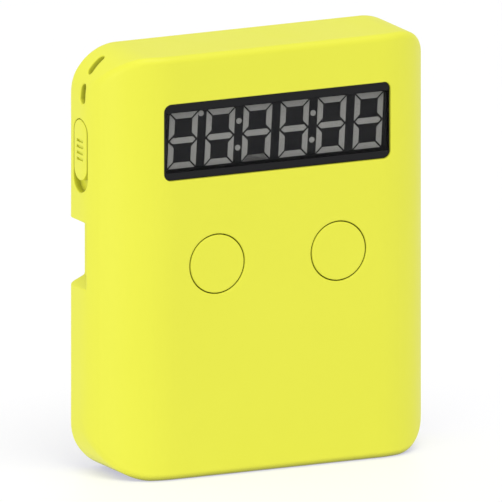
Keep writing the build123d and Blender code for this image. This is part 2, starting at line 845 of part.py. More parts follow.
def controller_dome():
    """Resin dome over the controller chip, behind the board."""
    ball = (dome_r ** 2 + dome_h ** 2) / (2 * dome_h)
    centre = Pos(dome_x, front + board_back + dome_h - ball, middle_z + dome_rise)
    cap = centre * Sphere(ball)
    return cap & disc(dome_r + overhang, dome_x, middle_z + dome_rise, board_back, case_d)


def crystal_can():
    """Small round crystal can lying on the board."""
    place = Pos(crystal_x, front + board_back + crystal_r, middle_z + crystal_rise)
    can = place * Rot(0, 90, 0) * Cylinder(crystal_r, crystal_len)
    return fillet(can.edges(), crystal_edge_r)


def capacitor():
    """Electrolytic capacitor lying on the board."""
    place = Pos(capacitor_x, front + board_back + capacitor_r, middle_z + capacitor_rise)
    can = place * Rot(0, 90, 0) * Cylinder(capacitor_r, capacitor_len)
    return fillet(can.edges(), capacitor_edge_r)


def chip_resistors():
    """Row of chip resistors behind the board."""
    chips = []
    for index in range(chip_count):
        x = chip_x + index * chip_pitch
        chips.append(block(chip_w, chip_h, x, middle_z + chip_rise, board_back, board_back + chip_t))
    return chips


# ---------------------------------------------------------------- buzzer
ring_face = cover_face - ring_h


def buzzer_disc():
    """Brass plate of the buzzer on its ring."""
    return disc(buzzer_r, buzzer_x, buzzer_z, ring_face - brass_t, ring_face)


def buzzer_ceramic():
    """Ceramic wafer on the brass plate."""
    return disc(ceramic_r, buzzer_x, buzzer_z, ring_face - brass_t - ceramic_t, ring_face - brass_t)


def coil(radius, tip_radius, wire, length, turns):
    """Coil spring along +Z from the origin, its wire touching both end planes."""
    height = length - 2 * wire
    angle = 0
    if tip_radius != radius:
        angle = -degrees(atan((radius - tip_radius) / height))
    path = Helix(height / turns, height, radius, cone_angle=angle)
    section = Plane(path @ 0, z_dir=path % 0) * Circle(wire)
    return Pos(0, 0, wire) * sweep(section, path=path)


def buzzer_springs():
    """Two small springs from the board to the brass plate and to the wafer."""
    springs = []
    faces = ((brass_spring_x, ring_face - brass_t), (-ceramic_spring_x, ring_face - brass_t - ceramic_t))
    for x, far in faces:
        spring = coil(buzzer_spring_r, buzzer_spring_r, buzzer_wire_r, far - board_back, buzzer_spring_turns)
        springs.append(Pos(buzzer_x + x, front + board_back, buzzer_z) * Rot(-90, 0, 0) * spring)
    return springs


# ---------------------------------------------------------------- cells and contacts
def cell(z, towards):
    """One cell with its nub pointing to the given side."""
    body_len = cell_len - nub_len
    body = Rot(0, 90, 0) * Cylinder(cell_r, body_len)
    body = fillet(body.edges(), cell_edge_r)
    nub = Pos((body_len + nub_len) / 2, 0, 0) * Rot(0, 90, 0) * Cylinder(nub_r, nub_len)
    middle = towards * (contact_x - nub_len - body_len / 2)
    turn = 0 if towards > 0 else 180
    return Pos(middle, front + cell_depth, z) * Rot(0, 0, turn) * (body + nub)


def contact(x_from, z, height):
    """Flat contact plate at one end of the bay."""
    return beam(contact_w, height, cell_depth, z, x_from, x_from + contact_t)


def plus_contact():
    """Contact for the upper cell's nub, with a tail soldered to the board."""
    top = high_cell_z + contact_h / 2
    tail_z = (plus_tail_top + top) / 2
    tail = beam(tail_w, plus_tail_top - top, plus_tail_depth, tail_z, -bay_half_w, -contact_x)
    return contact(-bay_half_w, high_cell_z, contact_h) + tail


def minus_contact():
    """Contact for the lower cell's spring, with a tail that passes beside the upper contact."""
    top = low_cell_z + contact_h / 2
    near = minus_tail_depth - minus_tail_w / 2
    reach = cell_depth - near
    arm = beam(reach, tail_w, near + reach / 2, top - tail_w / 2, -bay_half_w, -contact_x)
    tail_h = minus_tail_top - top + tail_w
    tail = beam(minus_tail_w, tail_h, minus_tail_depth, minus_tail_top - tail_h / 2, -bay_half_w, -contact_x)
    return contact(-bay_half_w, low_cell_z, contact_h) + arm + tail


def minus_lead():
    """Short bent wire from the minus tail to the front of the board."""
    x = -bay_half_w + contact_t / 2
    near = front + minus_tail_depth
    corners = [(x, near, minus_tail_top), (x, near, lead_top), (x, front + board_depth, lead_top)]
    path = FilletPolyline(*corners, radius=lead_bend_r)
    return sweep(Plane(corners[0], z_dir=(0, 0, 1)) * Circle(lead_r), path=path)


def cell_springs():
    """Conical springs that press on the flat ends of the cells."""
    springs = []
    for z, towards in ((low_cell_z, 1), (high_cell_z, -1)):
        spring = coil(coil_r, coil_tip_r, coil_wire_r, spring_len, coil_turns)
        turn = 90 * towards
        springs.append(Pos(-towards * contact_x, front + cell_depth, z) * Rot(0, turn, 0) * spring)
    return springs


# ---------------------------------------------------------------- write every node
os.makedirs("parts", exist_ok=True)

save(front_shell(), "front_shell")
save(rear_cover(), "rear_cover")
save(battery_door(), "battery_door")
save(door_pad(), "door_pad")
save(Compound(children=housing_screws()), "housing_screws")
save(display_lens(), "display_lens")
save(lens_tape(), "lens_tape")
save(front_glass(), "display_front_glass")
save(cell_seal(), "display_seal")
save(rear_glass(), "display_rear_glass")
save(rear_film(), "display_rear_film")
save(Compound(children=segments()), "display_segments")
save(display_frame(), "display_frame")
save(contact_strip(), "contact_strip")
save(main_board(), "main_board")
save(Compound(children=board_screws()), "board_screws")
save(button(-button_x), "left_button")
save(button(button_x), "right_button")
save(Compound(children=[switch_body(-button_x), switch_body(button_x)]), "push_switch_bodies")
save(Compound(children=[switch_cover(-button_x), switch_cover(button_x)]), "push_switch_covers")
save(Compound(children=switch_pins()), "push_switch_pins")
save(plunger(-button_x), "left_plunger")
save(plunger(button_x), "right_plunger")
save(power_knob(), "power_knob")
save(power_switch_can(), "power_switch_can")
save(power_switch_base(), "power_switch_base")
save(power_lever(), "power_lever")
save(controller_dome(), "controller_dome")
save(crystal_can(), "crystal_can")
save(capacitor(), "capacitor")
save(Compound(children=chip_resistors()), "chip_resistors")
save(buzzer_disc(), "buzzer_disc")
save(buzzer_ceramic(), "buzzer_ceramic")
save(Compound(children=buzzer_springs()), "buzzer_springs")
save(cell(high_cell_z, -1), "upper_cell")
save(cell(low_cell_z, 1), "lower_cell")
save(plus_contact(), "plus_contact")
save(minus_contact(), "minus_contact")
save(minus_lead(), "minus_lead")
save(contact(contact_x, (low_cell_z + high_cell_z) / 2, link_h), "link_contact")
save(Compound(children=cell_springs()), "cell_springs")
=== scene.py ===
"""Pocket digital timer: finishes, small modelled details, studio and camera."""
import logging
import math
from dataclasses import dataclass
from enum import Enum
from functools import cache
from typing import Any, Protocol

import bpy
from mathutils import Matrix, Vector


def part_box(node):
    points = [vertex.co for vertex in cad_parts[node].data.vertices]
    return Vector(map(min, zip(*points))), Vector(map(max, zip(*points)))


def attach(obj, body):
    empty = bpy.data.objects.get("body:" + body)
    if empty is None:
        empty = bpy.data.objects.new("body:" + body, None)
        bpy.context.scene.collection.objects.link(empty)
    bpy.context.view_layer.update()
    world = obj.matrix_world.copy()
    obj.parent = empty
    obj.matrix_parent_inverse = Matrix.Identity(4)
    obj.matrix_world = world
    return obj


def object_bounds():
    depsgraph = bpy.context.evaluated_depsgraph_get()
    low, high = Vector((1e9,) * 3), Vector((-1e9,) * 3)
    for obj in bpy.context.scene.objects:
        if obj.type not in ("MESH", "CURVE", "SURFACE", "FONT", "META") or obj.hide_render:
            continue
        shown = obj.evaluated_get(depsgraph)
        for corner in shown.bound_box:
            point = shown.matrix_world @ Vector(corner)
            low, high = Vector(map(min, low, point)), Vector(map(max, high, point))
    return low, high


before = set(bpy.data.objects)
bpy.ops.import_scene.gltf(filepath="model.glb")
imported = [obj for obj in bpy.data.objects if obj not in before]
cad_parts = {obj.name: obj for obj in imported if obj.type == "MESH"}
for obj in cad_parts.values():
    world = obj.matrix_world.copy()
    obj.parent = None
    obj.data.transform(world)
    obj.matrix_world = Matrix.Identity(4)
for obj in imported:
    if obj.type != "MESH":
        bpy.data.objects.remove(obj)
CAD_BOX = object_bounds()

log = logging.getLogger("timer")
MM = 0.001
Colour = tuple[float, float, float]
Triple = tuple[float, float, float]


# ------------------------------------------------------------------ shader writing
@dataclass(frozen=True)
class Cloud:
    """One noise pattern: blotch width, finer layers, relative frequency along each axis."""

    size_mm: float
    detail: float = 2.0
    stretch: Triple = (1.0, 1.0, 1.0)


@dataclass(frozen=True)
class Relief:
    """Depth of a roughened surface and how strongly it shows."""

    depth_mm: float
    strength: float


class Signal:
    """A shader value, colour or vector that can stand in a Python expression."""

    def __init__(self, look: "Look", socket: bpy.types.NodeSocket) -> None:
        """Wrap one output socket of a look."""
        self.look = look
        self.socket = socket

    def __add__(self, other: "Signal | float") -> "Signal":
        """Sum of two values."""
        return self.look.sum_up("ADD", self, other)

    def __radd__(self, other: float) -> "Signal":
        """Sum with a plain number on the left."""
        return self.look.sum_up("ADD", other, self)

    def __sub__(self, other: "Signal | float") -> "Signal":
        """Difference of two values."""
        return self.look.sum_up("SUBTRACT", self, other)

    def __rsub__(self, other: float) -> "Signal":
        """Plain number less this value."""
        return self.look.sum_up("SUBTRACT", other, self)

    def __mul__(self, other: "Signal | float") -> "Signal":
        """Product of two values."""
        return self.look.sum_up("MULTIPLY", self, other)

    def __gt__(self, other: "Signal | float") -> "Signal":
        """One where this value is the larger, else zero."""
        return self.look.sum_up("GREATER_THAN", self, other)

    def __lt__(self, other: "Signal | float") -> "Signal":
        """One where this value is the smaller, else zero."""
        return self.look.sum_up("LESS_THAN", self, other)


class Look:
    """A material being written, with short ways to add its nodes."""

    EDGE_SAMPLES = 6
    GAP_SAMPLES = 8

    def __init__(self, name: str) -> None:
        """Start an empty material.

        Args:
            name: Name of the material, in plain words.
        """
        self.material = bpy.data.materials.new(name)
        self.material.use_nodes = True
        self.tree = self.material.node_tree
        self.tree.nodes.clear()

    def plug(self, socket: bpy.types.NodeSocket, value: Any) -> None:
        """Link a signal to a socket, or set the socket's own value.

        Args:
            socket: The input to feed.
            value: A signal, number, colour or vector.
        """
        if isinstance(value, Signal):
            self.tree.links.new(value.socket, socket)
        elif socket.type == "RGBA" and len(value) == 3:
            socket.default_value = (*value, 1.0)
        else:
            socket.default_value = value

    def node(self, kind: str, settings: dict[str, Any] | None = None,
             inputs: dict[str | int, Any] | None = None) -> bpy.types.Node:
        """Add one node.

        Args:
            kind: The node's type.
            settings: Properties of the node.
            inputs: Values or signals by socket name or number.

        Returns:
            The new node.
        """
        node = self.tree.nodes.new(kind)
        for key, value in (settings or {}).items():
            setattr(node, key, value)
        for key, value in (inputs or {}).items():
            self.plug(node.inputs[key], value)
        return node

    def out(self, node: bpy.types.Node, name: str | int = 0) -> Signal:
        """One output of a node as a signal."""
        return Signal(self, node.outputs[name])

    def sum_up(self, operation: str, first: Any, second: Any) -> Signal:
        """Result of one two-input sum on plain values."""
        return self.out(self.node("ShaderNodeMath", {"operation": operation}, {0: first, 1: second}))

    def size_of(self, value: Signal) -> Signal:
        """A value without its sign."""
        return self.sum_up("ABSOLUTE", value, 0.0)

    def clamp(self, value: Signal) -> Signal:
        """A value held between zero and one."""
        return self.out(self.node("ShaderNodeClamp", None, {"Value": value}))

    def place(self, scale: Triple = (1.0, 1.0, 1.0)) -> Signal:
        """Object coordinates in metres, scaled along each axis."""
        coordinates = self.out(self.node("ShaderNodeTexCoord"), "Object")
        return self.out(self.node("ShaderNodeMapping", None, {"Vector": coordinates, "Scale": scale}))

    def axes(self) -> tuple[Signal, Signal, Signal]:
        """Object coordinates split into X, Y and Z."""
        split = self.node("ShaderNodeSeparateXYZ", None, {"Vector": self.place()})
        return self.out(split, "X"), self.out(split, "Y"), self.out(split, "Z")

    def noise(self, cloud: Cloud) -> Signal:
        """Cloudy noise between zero and one.

        Args:
            cloud: The pattern.

        Returns:
            The noise value.
        """
        scale = 1.0 / (cloud.size_mm * MM)
        inputs = {"Vector": self.place(cloud.stretch), "Scale": scale, "Detail": cloud.detail}
        return self.out(self.node("ShaderNodeTexNoise", {"noise_dimensions": "3D"}, inputs))

    def cells(self, size_mm: float) -> Signal:
        """Distance to the nearest of scattered points, for pits and grains."""
        inputs = {"Vector": self.place(), "Scale": 1.0 / (size_mm * MM)}
        return self.out(self.node("ShaderNodeTexVoronoi", {"feature": "F1"}, inputs), "Distance")

    def blend(self, amount: Signal, low: Any, high: Any) -> Signal:
        """Colour between two colours.

        Args:
            amount: Zero for the low colour, one for the high colour.
            low: First colour, plain or a signal.
            high: Second colour, plain or a signal.

        Returns:
            The colour signal.
        """
        node = self.node("ShaderNodeMix", {"data_type": "RGBA"})
        for name, value in {"Factor": amount, "A": low, "B": high}.items():
            socket = next(each for each in node.inputs if each.name == name and each.enabled)
            self.plug(socket, value)
        return Signal(self, next(each for each in node.outputs if each.enabled))

    def soft_normal(self, radius_mm: float) -> Signal:
        """Surface direction with every sharp edge rounded off."""
        settings = {"samples": self.EDGE_SAMPLES}
        return self.out(self.node("ShaderNodeBevel", settings, {"Radius": radius_mm * MM}))

    def openness(self, reach_mm: float) -> Signal:
        """One on open faces, falling towards zero inside gaps and corners."""
        settings = {"samples": self.GAP_SAMPLES}
        return self.out(self.node("ShaderNodeAmbientOcclusion", settings, {"Distance": reach_mm * MM}), "AO")

    def edge_mask(self, soft: Signal, gain: float) -> Signal:
        """One along sharp edges and zero on open faces.

        Args:
            soft: Surface direction with its edges rounded off.
            gain: How quickly the mask rises at an edge.

        Returns:
            The mask value.
        """
        true = self.out(self.node("ShaderNodeNewGeometry"), "Normal")
        dot = self.node("ShaderNodeVectorMath", {"operation": "DOT_PRODUCT"}, {0: soft, 1: true})
        return self.clamp((1.0 - self.out(dot, "Value")) * gain)

    def bump(self, height: Signal, relief: Relief, under: Signal | None = None) -> Signal:
        """Normal roughened by a height signal.

        Args:
            height: Relief between zero and one.
            relief: Its depth and strength.
            under: Normal that the relief is laid on.

        Returns:
            The normal signal.
        """
        inputs: dict[str | int, Any] = {"Height": height, "Distance": relief.depth_mm * MM}
        inputs["Strength"] = relief.strength
        if under is not None:
            inputs["Normal"] = under
        return self.out(self.node("ShaderNodeBump", None, inputs))

    def surface(self, **inputs: Any) -> bpy.types.Material:
        """Close the look with one shader.

        Args:
            **inputs: Shader sockets by name, with underscores for spaces.

        Returns:
            The finished material.
        """
        named = {key.replace("_", " "): value for key, value in inputs.items()}
        shader = self.node("ShaderNodeBsdfPrincipled", None, named)
        output = self.node("ShaderNodeOutputMaterial")
        self.tree.links.new(shader.outputs[0], output.inputs["Surface"])
        return self.material


# ------------------------------------------------------------------ finishes
class Finish(Protocol):
    """Anything that has a name and can make its own material."""

    name: str

    def material(self) -> bpy.types.Material:
        """The finished material."""


class Grain(Enum):
    """How the skin of a moulding was textured in its tool."""

    SPARK = (0.16, 0.010)
    FINE = (0.10, 0.005)
    POLISHED = (0.60, 0.0012)

    @property
    def size_mm(self) -> float:
        """Width of one grain."""
        return self.value[0]

    @property
    def depth_mm(self) -> float:
        """Height of one grain."""
        return self.value[1]


@dataclass(frozen=True)
class MouldedPlastic:
    """Coloured moulding with tool texture, faint flow shade, a painted highlight along its edges and painted
    shade in its gaps.
    """

    name: str
    colour: Colour
    shade: Colour
    # Lighter colour along sharp edges: a painted highlight.
    edge_highlight: Colour
    grain: Grain = Grain.SPARK
    roughness: float = 0.37
    edge_mm: float = 0.22
    # Painted shade: inside gaps and corners the colour falls to this share of itself.
    painted_shade_share: float = 0.45
    gloss: float = 0.25
    edge_gain: float = 3.0
    # How much of the lighter edge colour, a painted highlight, is mixed in.
    edge_highlight_share: float = 0.5
    edge_polish: float = 0.10
    flow: Cloud = Cloud(22.0, 3.0)
    flow_gain: float = 1.6
    flow_start: float = 0.3
    # Painted shade: how far it reaches into the open and how steeply it sets in.
    painted_shade_reach_mm: float = 3.0
    painted_shade_gain: float = 1.7
    painted_shade_start: float = 0.5
    handled: Cloud = Cloud(9.0, 4.0)
    handled_rough: float = 0.12
    coarse_ratio: float = 4.0
    coarse_detail: float = 1.0
    coarse_share: float = 0.35
    grain_strength: float = 0.6

    def tint(self, look: Look, edge: Signal) -> Signal:
        """Colour with its flow shade, a painted highlight along sharp edges and painted shade in gaps and
        corners.

        Args:
            look: The material being written.
            edge: One along sharp edges.

        Returns:
            The colour signal.
        """
        flow = look.clamp(look.noise(self.flow) * self.flow_gain - self.flow_start)
        # The lighter edge colour is a painted highlight along sharp edges.
        face = look.blend(edge * self.edge_highlight_share, look.blend(flow, self.colour, self.shade), self.edge_highlight)
        # Painted shade: the colour darkens inside gaps, recesses and corners, where light is hidden.
        painted_shade = (1.0 - look.openness(self.painted_shade_reach_mm)) * self.painted_shade_gain - self.painted_shade_start
        return look.blend(look.clamp(painted_shade), face, tuple(part * self.painted_shade_share for part in self.colour))

    def material(self) -> bpy.types.Material:
        """Write the look.

        Returns:
            The finished material.
        """
        look = Look(self.name)
        soft = look.soft_normal(self.edge_mm)
        edge = look.edge_mask(soft, self.edge_gain)
        handled = look.noise(self.handled) * self.handled_rough
        rough = look.clamp(self.roughness + handled - edge * self.edge_polish)
        fine = look.noise(Cloud(self.grain.size_mm))
        coarse_cloud = Cloud(self.grain.size_mm * self.coarse_ratio, self.coarse_detail)
        coarse = look.noise(coarse_cloud) * self.coarse_share
        normal = look.bump(fine + coarse, Relief(self.grain.depth_mm, self.grain_strength), soft)
        return look.surface(
            Base_Color=self.tint(look, edge), Roughness=rough, Normal=normal, Specular_IOR_Level=self.gloss)


@dataclass(frozen=True)
class SmokedWindow:
    """Dark window, clear in its middle and opaque black round its border: partly print, partly painted shade
    at its recessed edges.
    """

    name: str
    clear_mm: tuple[float, float] = (0.9, 0.45)
    print_and_shade_depth_mm: float = 0.2
    colour: Colour = (0.006, 0.006, 0.007)
    veil: float = 0.20
    marks: Cloud = Cloud(2.5, 6.0, (1.0, 1.0, 9.0))
    marks_from: float = 0.66
    marks_rough: float = 0.05
    haze: Cloud = Cloud(14.0, 2.0)
    haze_rough: float = 0.06
    haze_veil: float = 0.02
    roughness: float = 0.08
    edge_mm: float = 0.12
    relief: Relief = Relief(0.0006, 0.3)
    ior: float = 1.28

    def border(self, look: Look) -> Signal:
        """Mask of the opaque black border on the front face, partly print and partly painted shade.

        Args:
            look: The material being written.

        Returns:
            One on the border and zero everywhere else.
        """
        low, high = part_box("display_segments")
        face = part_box("display_lens")[0][1]
        x, y, z = look.axes()
        half_w = (high[0] - low[0]) / 2 + self.clear_mm[0] * MM
        half_h = (high[2] - low[2]) / 2 + self.clear_mm[1] * MM
        beside = look.size_of(x - (low[0] + high[0]) / 2) > half_w
        above = look.size_of(z - (low[2] + high[2]) / 2) > half_h
        return look.clamp(beside + above) * (y < face + self.print_and_shade_depth_mm * MM)

    def material(self) -> bpy.types.Material:
        """Write the look.

        Returns:
            The finished material.
        """
        look = Look(self.name)
        marks = look.noise(self.marks)
        haze = look.noise(self.haze)
        scuffs = (marks > self.marks_from) * self.marks_rough
        rough = look.clamp(self.roughness + haze * self.haze_rough + scuffs)
        normal = look.bump(marks, self.relief, look.soft_normal(self.edge_mm))
        # The opaque border is partly print and partly painted shade from the recessed window edges.
        alpha = look.clamp(self.veil + haze * self.haze_veil + self.border(look))
        return look.surface(Base_Color=self.colour, Roughness=rough, Normal=normal, Alpha=alpha, IOR=self.ior)


@dataclass(frozen=True)
class GlassSheet:
    """Thin clear glass of the display cell."""

    name: str
    colour: Colour = (0.02, 0.02, 0.02)
    veil: float = 0.03
    roughness: float = 0.04
    film: Cloud = Cloud(6.0, 2.0)
    film_veil: float = 0.01
    film_rough: float = 0.03
    ior: float = 1.1

    def material(self) -> bpy.types.Material:
        """Write the look.

        Returns:
            The finished material.
        """
        look = Look(self.name)
        film = look.noise(self.film)
        alpha = look.clamp(self.veil + film * self.film_veil)
        rough = self.roughness + film * self.film_rough
        return look.surface(Base_Color=self.colour, Roughness=rough, Alpha=alpha, IOR=self.ior)


@dataclass(frozen=True)
class InkedLayer:
    """Flat display ink, resin or film with a faint grain."""

    name: str
    colour: Colour
    shade: Colour
    roughness: float = 0.45
    gloss: float = 0.35
    cloud: Cloud = Cloud(3.0, 3.0)
    specks: Cloud = Cloud(0.4, 2.0)
    specks_rough: float = 0.12
    grain: Cloud = Cloud(0.2, 1.0)
    relief: Relief = Relief(0.001, 0.4)

    def material(self) -> bpy.types.Material:
        """Write the look.

        Returns:
            The finished material.
        """
        look = Look(self.name)
        base = look.blend(look.noise(self.cloud), self.colour, self.shade)
        rough = look.clamp(self.roughness + look.noise(self.specks) * self.specks_rough)
        normal = look.bump(look.noise(self.grain), self.relief)
        return look.surface(Base_Color=base, Roughness=rough, Normal=normal, Specular_IOR_Level=self.gloss)


@dataclass(frozen=True)
class PlatedMetal:
    """Stamped, drawn or turned metal with a plated skin, brushed one way."""

    name: str
    colour: Colour
    dull: Colour
    brushed: Triple = (1.0, 1.0, 12.0)
    roughness: float = 0.23
    lines_mm: float = 0.9
    lines_detail: float = 5.0
    lines_rough: float = 0.16
    spots: Cloud = Cloud(1.8, 3.0)
    spots_gain: float = 1.8
    spots_start: float = 0.6
    edge_mm: float = 0.08
    relief: Relief = Relief(0.002, 0.5)

    def material(self) -> bpy.types.Material:
        """Write the look.

        Returns:
            The finished material.
        """
        look = Look(self.name)
        lines = look.noise(Cloud(self.lines_mm, self.lines_detail, self.brushed))
        spots = look.clamp(look.noise(self.spots) * self.spots_gain - self.spots_start)
        base = look.blend(spots, self.colour, self.dull)
        rough = look.clamp(self.roughness + lines * self.lines_rough)
        normal = look.bump(lines, self.relief, look.soft_normal(self.edge_mm))
        return look.surface(Base_Color=base, Roughness=rough, Metallic=1.0, Normal=normal)


@dataclass(frozen=True)
class SoftRubber:
    """Silicone, foam or wire sleeve with a dull, slightly pitted skin."""

    name: str
    colour: Colour
    shade: Colour
    pit_mm: float = 0.35
    roughness: float = 0.78
    wear: Cloud = Cloud(2.0, 2.0)
    wear_rough: float = 0.1
    relief: Relief = Relief(0.03, 0.7)

    def material(self) -> bpy.types.Material:
        """Write the look.

        Returns:
            The finished material.
        """
        look = Look(self.name)
        pits = look.cells(self.pit_mm)
        base = look.blend(look.clamp(pits), self.shade, self.colour)
        rough = look.clamp(self.roughness + look.noise(self.wear) * self.wear_rough)
        return look.surface(Base_Color=base, Roughness=rough, Normal=look.bump(pits, self.relief))


@dataclass(frozen=True)
class CircuitBoard:
    """Solder mask over copper tracks, with tinned pads showing through."""

    name: str
    mask: Colour = (0.012, 0.130, 0.045)
    track: Colour = (0.030, 0.230, 0.080)
    tin: Colour = (0.62, 0.61, 0.57)
    tracks: Cloud = Cloud(7.0, 0.0, (1.0, 0.01, 2.6))
    track_repeat: float = 11.0
    track_from: float = 0.30
    track_to: float = 0.62
    track_height: float = 0.6
    pitch_mm: float = 1.27
    grid_start: float = 0.5
    pad_mm: float = 0.45
    pad_patches: Cloud = Cloud(11.0, 0.0)
    pad_from: float = 0.56
    pad_metal: float = 0.9
    roughness: float = 0.30
    wear: Cloud = Cloud(3.0, 2.0)
    wear_rough: float = 0.12
    relief: Relief = Relief(0.03, 0.8)

    def track_mask(self, look: Look) -> Signal:
        """One on the copper tracks, which follow the contours of a slow noise."""
        lines = look.sum_up("FRACT", look.noise(self.tracks) * self.track_repeat, 0.0)
        return look.clamp((lines > self.track_from) * (lines < self.track_to))

    def pad_mask(self, look: Look) -> Signal:
        """Mask of the round tinned pads, which sit on the board's grid in patches.

        Args:
            look: The material being written.

        Returns:
            One on the pads and zero beside them.
        """
        x, _, z = look.axes()
        fold = self.pitch_mm * 2 * MM
        column = look.sum_up("PINGPONG", x + self.grid_start, fold)
        row = look.sum_up("PINGPONG", z + self.grid_start, fold)
        near = look.sum_up("POWER", column, 2.0) + look.sum_up("POWER", row, 2.0)
        return (near < (self.pad_mm * MM) ** 2) * (look.noise(self.pad_patches) > self.pad_from)

    def material(self) -> bpy.types.Material:
        """Write the look.

        Returns:
            The finished material.
        """
        look = Look(self.name)
        tracks = self.track_mask(look)
        pads = self.pad_mask(look)
        base = look.blend(pads, look.blend(tracks, self.mask, self.track), self.tin)
        rough = look.clamp(self.roughness + look.noise(self.wear) * self.wear_rough)
        normal = look.bump(tracks * self.track_height + pads, self.relief)
        return look.surface(Base_Color=base, Roughness=rough, Metallic=pads * self.pad_metal, Normal=normal)


@dataclass(frozen=True)
class PrintedCell:
    """Printed jacket of a dry cell: dark body, bright band, bare steel at both ends."""

    name: str
    half_length_mm: float
    body: Colour = (0.030, 0.034, 0.042)
    band: Colour = (0.62, 0.30, 0.06)
    steel: Colour = (0.72, 0.71, 0.68)
    bare_mm: float = 1.3
    band_mm: float = 12.0
    metal: float = 0.35
    bare_metal: float = 0.6
    roughness: float = 0.26
    wear: Cloud = Cloud(2.0, 3.0)
    wear_rough: float = 0.14
    print_lines: Cloud = Cloud(0.5, 3.0, (8.0, 1.0, 1.0))
    edge_mm: float = 0.15
    relief: Relief = Relief(0.002, 0.4)

    def material(self) -> bpy.types.Material:
        """Write the look.

        Returns:
            The finished material.
        """
        look = Look(self.name)
        x, _, _ = look.axes()
        from_middle = look.size_of(x)
        bare = from_middle > (self.half_length_mm - self.bare_mm) * MM
        banded = (from_middle > (self.half_length_mm - self.band_mm) * MM) * (x > 0.0)
        base = look.blend(bare, look.blend(banded, self.body, self.band), self.steel)
        rough = look.clamp(self.roughness + look.noise(self.wear) * self.wear_rough)
        normal = look.bump(look.noise(self.print_lines), self.relief, look.soft_normal(self.edge_mm))
        metal = look.clamp(bare * self.bare_metal + self.metal)
        return look.surface(Base_Color=base, Roughness=rough, Metallic=metal, Normal=normal)


@dataclass(frozen=True)
class StudioFloor:
    """Pale seamless paper, lit a little from beneath."""

    name: str = "studio_floor"
    colour: Colour = (0.58, 0.58, 0.40)
    cloud: Cloud = Cloud(60.0, 2.0)
    cloud_shade: float = 0.985
    cloud_rough: float = 0.05
    roughness: float = 0.45
    gloss: float = 0.2
    glow_colour: Colour = (0.662, 0.662, 1.0)
    glow: float = 0.57

    def material(self) -> bpy.types.Material:
        """Write the look.

        Returns:
            The finished material.
        """
        look = Look(self.name)
        cloud = look.noise(self.cloud)
        base = look.blend(cloud, self.colour, tuple(self.cloud_shade * part for part in self.colour))
        rough = self.roughness + cloud * self.cloud_rough
        return look.surface(
            Base_Color=base, Roughness=rough, Specular_IOR_Level=self.gloss,
            Emission_Color=self.glow_colour, Emission_Strength=self.glow)


# ------------------------------------------------------------------ modelling helpers
@cache
def made(finish: Finish) -> bpy.types.Material:
    """The material of one finish, made only once."""
    return finish.material()


def start_clean() -> None:
    """Leave object mode selected on nothing, so that an operator meets only new work."""
    if bpy.context.object is not None and bpy.context.object.mode != "OBJECT":
        bpy.ops.object.mode_set(mode="OBJECT")
    bpy.ops.object.select_all(action="DESELECT")


def dress(finish: Finish, *nodes: str) -> None:
    """Give CAD nodes their finish.

    Args:
        finish: The finish for all of their faces.
        *nodes: Names of the nodes.
    """
    for node in nodes:
        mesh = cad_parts[node].data
        mesh.materials.clear()
        mesh.materials.append(made(finish))
        log.info("dressed %s in %s", node, finish.name)


def settle(piece: bpy.types.Object, name: str, body: str, finish: Finish) -> None:
    """Apply a new piece's place, name it, dress it and let it ride on its body.

    Args:
        piece: The modelled object.
        name: Its final name.
        body: The CAD body that it moves with.
        finish: Its finish.
    """
    start_clean()
    piece.select_set(True)
    bpy.context.view_layer.objects.active = piece
    bpy.ops.object.transform_apply(location=True, rotation=True, scale=True)
    piece.name = name
    piece.data.name = name
    piece.data.materials.clear()
    piece.data.materials.append(made(finish))
    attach(piece, body)
    log.info("built %s on %s", name, body)


# ------------------------------------------------------------------ sub-assemblies
LIME = (0.810, 0.815, 0.063)
# Lighter lime for the painted highlight along edges.
LIME_EDGE_HIGHLIGHT = (0.84, 0.85, 0.12)
SCREW_STEEL = PlatedMetal("zinc_screw_steel", (0.66, 0.66, 0.64), (0.46, 0.46, 0.44))


@dataclass
class Casing:
    """The lime mouldings that make the outside, and the screws that hold them."""

    lime: MouldedPlastic = MouldedPlastic("lime_case_plastic", LIME, (0.796, 0.802, 0.059), LIME_EDGE_HIGHLIGHT)
    foam: SoftRubber = SoftRubber("door_foam", (0.045, 0.045, 0.045), (0.015, 0.015, 0.015), 0.5)

    def dress(self) -> None:
        """Give every casing piece its finish."""
        dress(self.lime, "front_shell", "rear_cover", "battery_door")
        dress(SCREW_STEEL, "housing_screws")
        dress(self.foam, "door_pad")


@dataclass
class Controls:
    """Buttons, power slider and the switches behind them."""

    # Buttons and knob get a weaker painted shade in their gaps.
    lime: MouldedPlastic = MouldedPlastic(
        "lime_button_plastic", LIME, (0.800, 0.806, 0.059), LIME_EDGE_HIGHLIGHT,
        grain=Grain.FINE, roughness=0.33, painted_shade_share=0.8)
    black: MouldedPlastic = MouldedPlastic(
        "black_switch_plastic", (0.020, 0.020, 0.021), (0.028, 0.028, 0.029), (0.06, 0.06, 0.06),
        grain=Grain.FINE, roughness=0.40, edge_mm=0.10)
    tin: PlatedMetal = PlatedMetal("tinned_switch_metal", (0.70, 0.69, 0.66), (0.52, 0.51, 0.49))

    def dress(self) -> None:
        """Give every control its finish."""
        dress(self.lime, "left_button", "right_button", "power_knob")
        dress(self.black, "push_switch_bodies", "left_plunger", "right_plunger")
        dress(self.black, "power_switch_base", "power_lever")
        dress(self.tin, "push_switch_covers", "push_switch_pins", "power_switch_can")


